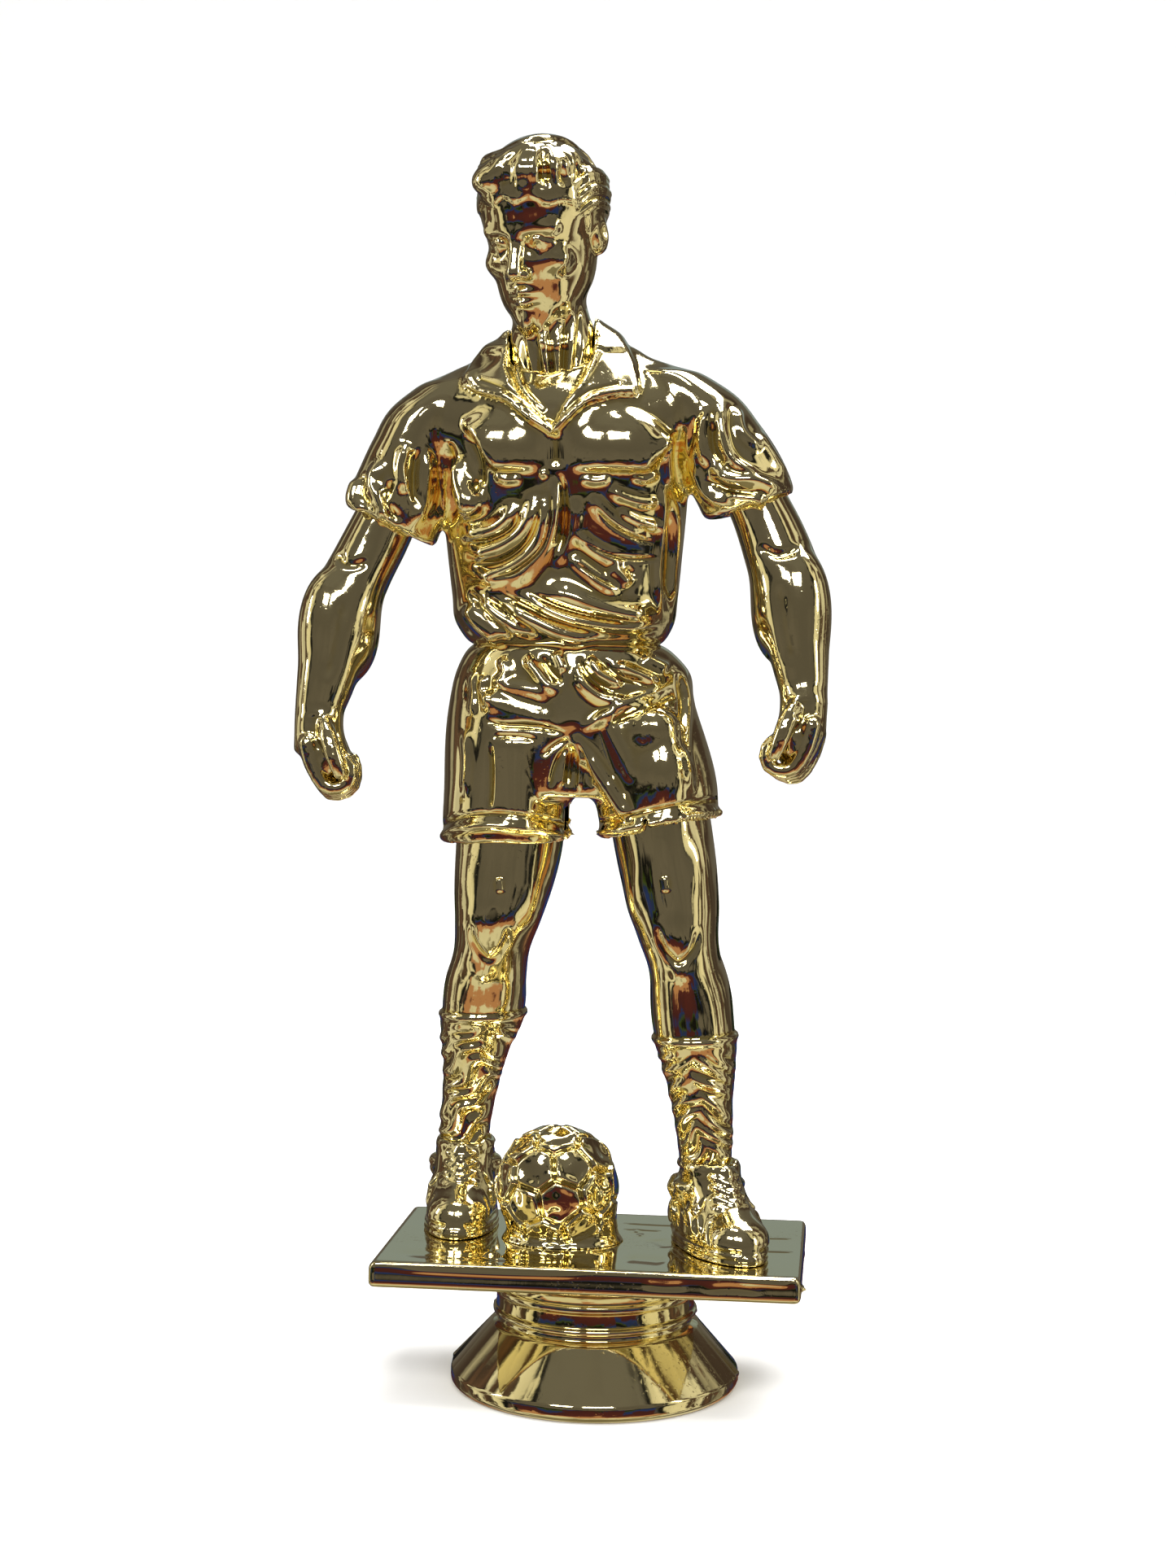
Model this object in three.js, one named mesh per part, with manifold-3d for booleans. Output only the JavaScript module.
// Figure trophy topper: a metallised football player on a plate and a round hub.
//
// Units are millimetres and +Z is up. The figure faces -Y. While the pieces are
// made, the hub's axis is the Z axis and the hub stands on Z = 0; the finished
// group is then moved so that the origin is the bottom centre of its own box.

import * as THREE from "three";
import { mergeVertices } from "three/addons/utils/BufferGeometryUtils.js";
import Module from "manifold-3d";

const wasm = await Module();
wasm.setup();

// ---------------------------------------------------------------- dimensions

const GAP = 0.3; // clearance between neighbouring pieces
const WALL = 1.7; // wall of the moulded shells

const HUB_RADIUS = 18;
const HUB_TOP = 14.4;
const HUB_NECK_RADIUS = 12.6;
const HUB_SEGMENTS = 36;
const SPIGOT_RADIUS = 5.7;
const SPIGOT_HEIGHT = 1.2;
const BOSS_RADIUS = 8.2;
const BOSS_BOTTOM = 2.5;

const PLATE_WIDTH = 52;
const PLATE_DEPTH = 31;
const PLATE_BOTTOM = HUB_TOP + GAP;
const PLATE_THICKNESS = 3;
const PLATE_TOP = PLATE_BOTTOM + PLATE_THICKNESS;
const PLATE_ROUNDING = 0.9;

const NUT_ACROSS_FLATS = 11.1; // 7/16 inch hexagon of a 1/4 inch nut
const NUT_HEIGHT = 5.5;
const NUT_BORE_RADIUS = 2.6;
const STUD_CLEARANCE_RADIUS = 3.4;

const PEG_RADIUS = 1.6; // pegs that locate the boots and the ball in the plate
const PEG_LENGTH = 1.4;
const PEG_SIDES = 12;

const BALL_RADIUS = 7.6;
const BALL_X = -5;
const BALL_Y = 0.4;
const BALL_Z = 24.4;

const LIMB_SIDES = 18;
const TRUNK_SIDES = 26;

const SHIRT_PARTING_Y = 3.9;
const SHORTS_PARTING_Y = 4.4;

// Sections of the figure, from low to high:
// [x, y, z, half width, half depth, lean], where lean is the slope of the ring along X.

const TORSO = [
  [-5.3, 4.6, 92.3, 12.2, 8.4],
  [-5.4, 4.5, 94.8, 13.9, 9.6],
  [-5.4, 4.5, 98, 14.4, 9.8],
  [-5.5, 4.5, 103.5, 15, 9.7],
  [-5.5, 4, 109, 15.6, 10.2],
  [-5.7, 3.4, 114, 16.1, 11],
  [-6, 3.5, 119, 16.5, 10.8],
  [-6.1, 4.1, 123, 16, 9.6],
  [-6.2, 4.7, 126, 13.2, 7.9],
  [-6.2, 4.6, 128.2, 9.2, 6.6],
];

const RIGHT_SLEEVE = [
  [-27.2, 2.3, 105.6, 5.9, 6.2, -0.45],
  [-27, 2.5, 108.6, 6.6, 6.9, -0.3],
  [-25.6, 3, 113.7, 6, 7, -0.15],
  [-24.2, 3.4, 117.7, 5.7, 7, 0],
  [-22.6, 3.7, 121.6, 5.5, 6.5, 0.1],
  [-19.4, 4, 125, 4.2, 5.2, 0.2],
];

const LEFT_SLEEVE = [
  [18, 2.3, 107.8, 6, 6.2, 0.3],
  [17, 2.5, 110.6, 6.6, 6.9, 0.25],
  [15, 3, 115.8, 6.6, 7, 0.1],
  [13, 3.4, 119.8, 5.9, 6.8, 0],
  [10.8, 3.7, 123.6, 5.2, 6.2, -0.1],
  [7.4, 4, 126.2, 4, 5, -0.2],
];

const COLLAR = [
  [-6.5, 2.6, 122.6, 12.6, 9.4],
  [-6.8, 3.4, 126.6, 9.6, 7.6],
  [-7, 4.2, 130.4, 6.9, 6.2],
  [-7, 4.5, 132, 6.2, 5.8],
];

const RIGHT_ARM = [
  [-33.6, -4.9, 72, 1.8, 2.6],
  [-33.7, -5, 73.4, 3.2, 4],
  [-33.9, -5.1, 75.4, 4, 4.7],
  [-34.3, -5.1, 77.6, 4, 4.6],
  [-34.9, -4.9, 79.8, 3.1, 3.6],
  [-35, -4.6, 82, 2.8, 3],
  [-34.2, -3.6, 86, 3.5, 3.7],
  [-33.4, -2.2, 91, 4.1, 4.4],
  [-32.7, -0.7, 96, 4.4, 4.7],
  [-31.4, 0.7, 100.4, 4.5, 4.8],
  [-29.4, 1.8, 104.4, 4.4, 4.8],
  [-27.6, 2.5, 108.6, 4.2, 4.6],
  [-26.4, 2.9, 112, 3.7, 4],
];

const LEFT_ARM = [
  [23.5, -4.8, 75.2, 1.6, 2.4],
  [23.5, -4.9, 76.6, 3, 3.9],
  [23.7, -5, 78.6, 3.9, 4.6],
  [24.2, -4.9, 80.8, 3.9, 4.5],
  [24.8, -4.6, 83, 3, 3.4],
  [24.9, -4.2, 85, 2.8, 3],
  [24.3, -2.9, 89.6, 3.4, 3.7],
  [23.6, -1.7, 94, 4, 4.3],
  [22.8, -0.3, 98.8, 4.3, 4.6],
  [21.7, 0.9, 103, 4.4, 4.8],
  [20, 1.9, 107.4, 4.3, 4.7],
  [18, 2.6, 111.4, 4.1, 4.5],
  [16.6, 3, 114.6, 3.6, 3.9],
];

const PELVIS = [
  [-3.4, 4.2, 73.6, 16.4, 9],
  [-3.8, 4.3, 77.4, 16.3, 9.5],
  [-4.2, 4.4, 81.4, 16.1, 9.8],
  [-4.4, 4.5, 85.4, 15.4, 9.7],
  [-4.3, 4.6, 89.2, 14.6, 9.3],
  [-5, 4.6, 92, 12.2, 8.4],
];

const WAIST_SPIGOT = [
  [-5.2, 4.6, 90, 9.9, 6.2],
  [-5.3, 4.5, 94.6, 9.9, 6.2],
];

const RIGHT_SHORT_LEG = [
  [-12.5, 4.2, 66.6, 8.1, 9.4],
  [-12.4, 4.2, 70, 8.3, 9.5],
  [-12.2, 4.3, 74, 8.2, 9.4],
  [-11.6, 4.4, 80, 8, 9.3],
  [-11, 4.6, 85, 7.4, 8.6],
];

const LEFT_SHORT_LEG = [
  [6.8, 2, 68.8, 7.5, 8.5, 0.2],
  [6.8, 2.4, 72, 7.8, 8.6, 0.12],
  [6, 3, 76, 8.1, 8.9],
  [4.4, 3.8, 81, 7.9, 9],
  [3, 4.4, 85, 7.2, 8.6],
];

const RIGHT_LEG = [
  [-18.5, 10, 27.4, 2.9, 3.1],
  [-18.2, 9.7, 30.6, 3.1, 3.5],
  [-17.6, 9, 34.4, 3.3, 3.7],
  [-17, 8.2, 38, 3.7, 4.3],
  [-16.4, 7.4, 42, 4.5, 5.4],
  [-15.4, 6.4, 46.4, 5.4, 6.2],
  [-14.9, 5.4, 50, 5.2, 5.8],
  [-13.9, 4.2, 53.6, 4.9, 5.6],
  [-13.2, 3.4, 57.4, 5.5, 6.3],
  [-12.6, 3.5, 61.6, 6.2, 7],
  [-12.1, 3.9, 66, 6.7, 7.3],
  [-11.8, 4.4, 72, 6.6, 7.2],
  [-11.4, 4.6, 79, 5.4, 6],
];

const LEFT_LEG = [
  [13.5, 1.2, 27.4, 2.9, 3.1],
  [13.4, 1.1, 31, 3.4, 3.8],
  [13, 1, 35, 3.8, 4.2],
  [12.5, 1, 40, 4.6, 5.2],
  [12, 0.9, 43.6, 5.2, 6],
  [11.5, 0.6, 48, 5.2, 6],
  [10.7, 0.4, 52.4, 4.8, 5.5],
  [9.8, 0.5, 56, 5.1, 5.8],
  [9.1, 0.7, 60, 5.9, 6.8],
  [8.4, 1.1, 64, 6.3, 7.2],
  [7.5, 1.6, 69, 6.5, 7.3],
  [6.4, 2.3, 75, 6.4, 7.1],
  [5.2, 3, 81, 5.4, 6.1],
];

// Sections of a boot in its own frame: toes towards -Y, ankle over the origin,
// Z = 0 on the plate.
const BOOT = [
  [0, -3.2, 0, 4.1, 8.9],
  [0, -3.3, 1.3, 4.6, 9.4],
  [0, -3, 3.4, 4.5, 9],
  [0, -1.8, 5.4, 4.3, 7.3],
  [0, -0.5, 7.4, 4.2, 5.6],
  [0, 0, 10, 4.2, 4.8],
  [0, 0.1, 12.6, 4, 4.5],
];

const BOOT_PLACES = {
  right_boot: { x: -18.2, y: 9.9, toeOut: 3 },
  left_boot: { x: 14, y: 0.9, toeOut: 28 },
};

// The fill under the ball, moulded in one piece with it.
const BALL_FOOT = [
  [BALL_X + 0.7, BALL_Y, PLATE_TOP + GAP, 7.4, 5.4],
  [BALL_X + 0.6, BALL_Y, PLATE_TOP + 3.4, 6.9, 5],
  [BALL_X + 0.2, BALL_Y, BALL_Z - 0.6, 7, 4.6],
];

const SKULL = [
  [-7.3, -2.6, 130.2, 2.6, 3],
  [-7.6, -2, 132.2, 4.5, 5.2],
  [-8, -1.2, 135, 5.6, 7],
  [-8.1, -0.2, 138, 6.6, 8.6],
  [-8, 0.8, 141.4, 7.6, 9.7],
  [-8.2, 1.4, 145, 8.3, 10],
  [-8.5, 1.7, 149, 8.3, 9.5],
  [-8.6, 1.9, 152, 6.7, 7.7],
  [-8.7, 2, 154, 3.9, 4.6],
  [-8.7, 2, 154.8, 1.6, 2],
];

const NECK = [
  [-6.6, 4.6, 121, 4.4, 4.2],
  [-6.9, 4.3, 124.6, 5.2, 4.7],
  [-7, 3.9, 129, 5.3, 4.9],
  [-6.9, 3.4, 133.4, 5, 5],
  [-7.1, 2.8, 138, 4.6, 5],
];

// The quiff is a crest of hair that stands over the forehead.
const QUIFF = { x: -10.6, y: -5.4, z: 149.4, rx: 5.4, ry: 3.2, rz: 3.6 };
const EAR = { reach: 7.2, y: 1.6, z: 141.2, rx: 0.9, ry: 1.6, rz: 2.4 };
const NOSE = { x: -8.6, y: -8.6, z: 139.4, rx: 1.1, ry: 1.8, rz: 2.2 };

// ---------------------------------------------------------------- solids

// A closed three.js geometry as a manifold solid.
function solid(geometry) {
  geometry.deleteAttribute("normal");
  geometry.deleteAttribute("uv");
  const merged = mergeVertices(geometry);
  return new wasm.Manifold(
    new wasm.Mesh({
      numProp: 3,
      vertProperties: new Float32Array(merged.attributes.position.array),
      triVerts: new Uint32Array(merged.index.array),
    }),
  );
}

// A cylinder whose rings follow the sections, smoothly interpolated.
function loft(sections, sides = LIMB_SIDES, stepsPerSection = 1) {
  const centres = sections.map(([x, y, z]) => new THREE.Vector3(x, y, z));
  const girths = sections.map(([, , , rx, ry, lean = 0]) => new THREE.Vector3(rx, ry, lean));
  const spine = new THREE.CatmullRomCurve3(centres);
  const girth = new THREE.CatmullRomCurve3(girths);
  const rings = (sections.length - 1) * stepsPerSection;
  const geometry = new THREE.CylinderGeometry(1, 1, 1, sides, rings);
  geometry.rotateX(Math.PI / 2);
  const points = geometry.attributes.position;
  for (let i = 0; i < points.count; i += 1) {
    const along = THREE.MathUtils.clamp(points.getZ(i) + 0.5, 0, 1);
    const centre = spine.getPoint(along);
    const size = girth.getPoint(along);
    const dx = points.getX(i) * size.x;
    const dy = points.getY(i) * size.y;
    points.setXYZ(i, centre.x + dx, centre.y + dy, centre.z + size.z * dx);
  }
  return solid(geometry);
}

// The same sections with every ring larger by a margin.
function grow(sections, margin) {
  return sections.map(([x, y, z, rx, ry, lean]) => [x, y, z, rx + margin, ry + margin, lean]);
}

// Sections carried down or up past their ends, so that a cut made with them is
// open there.
function lengthen(sections, { below = 0, above = 0 }) {
  const moved = ([x, y, z, ...size], rise) => [x, y, z + rise, ...size];
  const longer = [...sections];
  if (below > 0) longer.unshift(moved(sections[0], -below));
  if (above > 0) longer.push(moved(sections.at(-1), above));
  return longer;
}

function ellipsoid({ x, y, z, rx, ry, rz }) {
  const geometry = new THREE.SphereGeometry(1, 14, 9);
  geometry.scale(rx, ry, rz);
  geometry.translate(x, y, z);
  return solid(geometry);
}

// An upright cylinder between two heights.
function post(x, y, low, high, radius, sides = PEG_SIDES) {
  const geometry = new THREE.CylinderGeometry(radius, radius, high - low, sides);
  geometry.rotateX(Math.PI / 2);
  geometry.translate(x, y, (low + high) / 2);
  return solid(geometry);
}

function block(low, high) {
  const size = high.map((value, axis) => value - low[axis]);
  const geometry = new THREE.BoxGeometry(...size);
  geometry.translate(...low.map((value, axis) => value + size[axis] / 2));
  return solid(geometry);
}

function joined(...solids) {
  return solids.reduce((whole, piece) => whole.add(piece));
}

function without(whole, ...cutters) {
  return cutters.reduce((rest, cutter) => rest.subtract(cutter), whole);
}

// The two halves of a moulding, split on a plane that faces front and back.
function halves(moulding, partingY) {
  const reach = 200;
  const front = block([-reach, -reach, 0], [reach, partingY - GAP / 2, reach]);
  const back = block([-reach, partingY + GAP / 2, 0], [reach, reach, reach]);
  return [moulding.intersect(front), moulding.intersect(back)];
}

// ---------------------------------------------------------------- pieces

function makeHub() {
  const skirt = HUB_RADIUS - WALL;
  const ceiling = HUB_TOP - 2.2;
  const outline = [
    [BOSS_RADIUS, BOSS_BOTTOM],
    [BOSS_RADIUS, ceiling],
    [HUB_NECK_RADIUS - WALL, ceiling],
    [HUB_NECK_RADIUS - WALL, 8.3],
    [skirt, 3],
    [skirt, 0],
    [HUB_RADIUS - 0.5, 0],
    [HUB_RADIUS, 0.5],
    [HUB_RADIUS, 2.2],
    [HUB_NECK_RADIUS + 0.2, 8.1],
    [HUB_NECK_RADIUS - 0.5, 8.4],
    [HUB_NECK_RADIUS - 0.5, 8.9],
    [HUB_NECK_RADIUS + 0.2, 9.2],
    [HUB_NECK_RADIUS, 9.8],
    [HUB_NECK_RADIUS, 11.8],
    [HUB_NECK_RADIUS + 0.2, 12.3],
    [HUB_NECK_RADIUS, 12.7],
    [HUB_NECK_RADIUS + 0.3, 13.6],
    [HUB_NECK_RADIUS + 1, HUB_TOP],
    [SPIGOT_RADIUS, HUB_TOP],
    [SPIGOT_RADIUS, HUB_TOP + SPIGOT_HEIGHT],
    [0, HUB_TOP + SPIGOT_HEIGHT],
    [0, BOSS_BOTTOM],
    [BOSS_RADIUS, BOSS_BOTTOM],
  ];
  const profile = outline.map(([radius, height]) => new THREE.Vector2(radius, height));
  const turned = new THREE.LatheGeometry(profile, HUB_SEGMENTS);
  turned.rotateX(Math.PI / 2);
  const pocketTop = BOSS_BOTTOM + NUT_HEIGHT + 2 * GAP;
  const pocket = hexagon(NUT_ACROSS_FLATS + 2 * GAP, BOSS_BOTTOM - 1, pocketTop);
  const studWay = post(0, 0, pocketTop - 1, HUB_TOP - 1, STUD_CLEARANCE_RADIUS);
  return without(solid(turned), pocket, studWay);
}

// A hexagonal prism on the hub's axis.
function hexagon(acrossFlats, low, high) {
  return post(0, 0, low, high, acrossFlats / 2 / Math.cos(Math.PI / 6), 6);
}

function makeNut() {
  const low = BOSS_BOTTOM + GAP;
  const high = low + NUT_HEIGHT;
  return without(
    hexagon(NUT_ACROSS_FLATS, low, high),
    post(0, 0, low - 1, high + 1, NUT_BORE_RADIUS, 20),
  );
}

function makePlate() {
  const flatWidth = PLATE_WIDTH / 2 - PLATE_ROUNDING;
  const flatDepth = PLATE_DEPTH / 2 - PLATE_ROUNDING;
  const outline = new THREE.Shape();
  outline.moveTo(-flatWidth, -flatDepth);
  outline.lineTo(flatWidth, -flatDepth);
  outline.lineTo(flatWidth, flatDepth);
  outline.lineTo(-flatWidth, flatDepth);
  outline.closePath();
  const slab = new THREE.ExtrudeGeometry(outline, {
    depth: PLATE_THICKNESS - 2 * PLATE_ROUNDING,
    bevelThickness: PLATE_ROUNDING,
    bevelSize: PLATE_ROUNDING,
    bevelSegments: 4,
  });
  slab.translate(0, 0, PLATE_BOTTOM + PLATE_ROUNDING);
  const hubRecess = post(
    0,
    0,
    PLATE_BOTTOM - 1,
    HUB_TOP + SPIGOT_HEIGHT + GAP,
    SPIGOT_RADIUS + GAP,
    HUB_SEGMENTS,
  );
  const sockets = pegPlaces().map(([x, y]) =>
    post(x, y, PLATE_TOP - PEG_LENGTH, PLATE_TOP + 1, PEG_RADIUS + GAP),
  );
  return without(solid(slab), hubRecess, ...sockets);
}

function pegPlaces() {
  const boots = Object.values(BOOT_PLACES).map(({ x, y }) => [x, y]);
  return [...boots, [BALL_X, BALL_Y]];
}

// A peg under a piece that stands on the plate.
function locatingPeg(x, y) {
  const low = PLATE_TOP + GAP - PEG_LENGTH;
  return post(x, y, low, PLATE_TOP + GAP + 1, PEG_RADIUS);
}

function makeBall() {
  const sphere = new THREE.SphereGeometry(BALL_RADIUS, 24, 14);
  sphere.rotateX(Math.PI / 2);
  sphere.translate(BALL_X, BALL_Y, BALL_Z);
  const plateClearance = block([-30, -30, 0], [30, 30, PLATE_TOP + GAP]);
  const standing = without(solid(sphere), plateClearance);
  return joined(standing, loft(BALL_FOOT), locatingPeg(BALL_X, BALL_Y));
}

function makeBoot({ x, y, toeOut }, leg) {
  const turned = loft(BOOT, LIMB_SIDES, 2).rotate([0, 0, toeOut]);
  const standing = turned.translate([x, y, PLATE_TOP + GAP]);
  const socket = loft(lengthen(grow(leg, GAP), { below: GAP }));
  return without(joined(standing, locatingPeg(x, y)), socket);
}

function makeHead() {
  const ears = [-1, 1].map((side) =>
    ellipsoid({ ...EAR, x: SKULL[4][0] + side * EAR.reach }),
  );
  return joined(loft(SKULL), loft(NECK), ellipsoid(QUIFF), ellipsoid(NOSE), ...ears);
}

function makeShirt(head, arms) {
  const outside = joined(
    loft(TORSO, TRUNK_SIDES),
    loft(RIGHT_SLEEVE),
    loft(LEFT_SLEEVE),
    loft(COLLAR, TRUNK_SIDES),
  );
  const inside = loft(lengthen(grow(TORSO.slice(0, -2), -WALL), { below: 1 }), TRUNK_SIDES);
  const neckHole = loft(lengthen(grow(NECK, GAP), { below: GAP }));
  const armHoles = arms.map((arm) => loft(lengthen(grow(arm, GAP), { above: GAP })));
  const shell = without(outside, inside, neckHole, head, ...armHoles);
  return halves(shell, SHIRT_PARTING_Y);
}

function makeShorts() {
  const outside = joined(
    loft(PELVIS, TRUNK_SIDES),
    loft(RIGHT_SHORT_LEG),
    loft(LEFT_SHORT_LEG),
    loft(WAIST_SPIGOT, TRUNK_SIDES),
  );
  const cavity = PELVIS.slice(2, 5);
  const inside = loft(grow(cavity, -WALL - 0.4), TRUNK_SIDES);
  const spigotWay = loft(lengthen(grow(WAIST_SPIGOT, -WALL), { below: 2, above: 1 }), TRUNK_SIDES);
  const legHoles = [RIGHT_LEG, LEFT_LEG].map((leg) => loft(lengthen(grow(leg, GAP), { above: GAP })));
  return halves(without(outside, inside, spigotWay, ...legHoles), SHORTS_PARTING_Y);
}

// ---------------------------------------------------------------- assembly

const gilded = { color: 0xe6cf9a, roughness: 0.12, metalness: 1 };
const steel = { color: 0xb4b6b8, roughness: 0.35, metalness: 1 };

function named(name, piece, finish = gilded) {
  const { vertProperties, triVerts } = piece.getMesh();
  const geometry = new THREE.BufferGeometry();
  geometry.setAttribute("position", new THREE.BufferAttribute(vertProperties, 3));
  geometry.setIndex(new THREE.BufferAttribute(triVerts, 1));
  geometry.computeVertexNormals();
  const mesh = new THREE.Mesh(geometry, new THREE.MeshStandardMaterial(finish));
  mesh.name = name;
  return mesh;
}

const head = makeHead();
const [shirtFront, shirtBack] = makeShirt(head, [RIGHT_ARM, LEFT_ARM]);
const [shortsFront, shortsBack] = makeShorts();

const group = new THREE.Group();
group.add(
  named("hub", makeHub()),
  named("hex_nut", makeNut(), steel),
  named("plate", makePlate()),
  named("ball", makeBall()),
  named("right_boot", makeBoot(BOOT_PLACES.right_boot, RIGHT_LEG)),
  named("left_boot", makeBoot(BOOT_PLACES.left_boot, LEFT_LEG)),
  named("right_leg", loft(RIGHT_LEG)),
  named("left_leg", loft(LEFT_LEG)),
  named("shorts_front_shell", shortsFront),
  named("shorts_back_shell", shortsBack),
  named("shirt_front_shell", shirtFront),
  named("shirt_back_shell", shirtBack),
  named("right_arm", loft(RIGHT_ARM)),
  named("left_arm", loft(LEFT_ARM)),
  named("head", head),
);

const box = new THREE.Box3().setFromObject(group);
const centre = box.getCenter(new THREE.Vector3());
group.position.set(-centre.x, -centre.y, -box.min.z);

export default group;
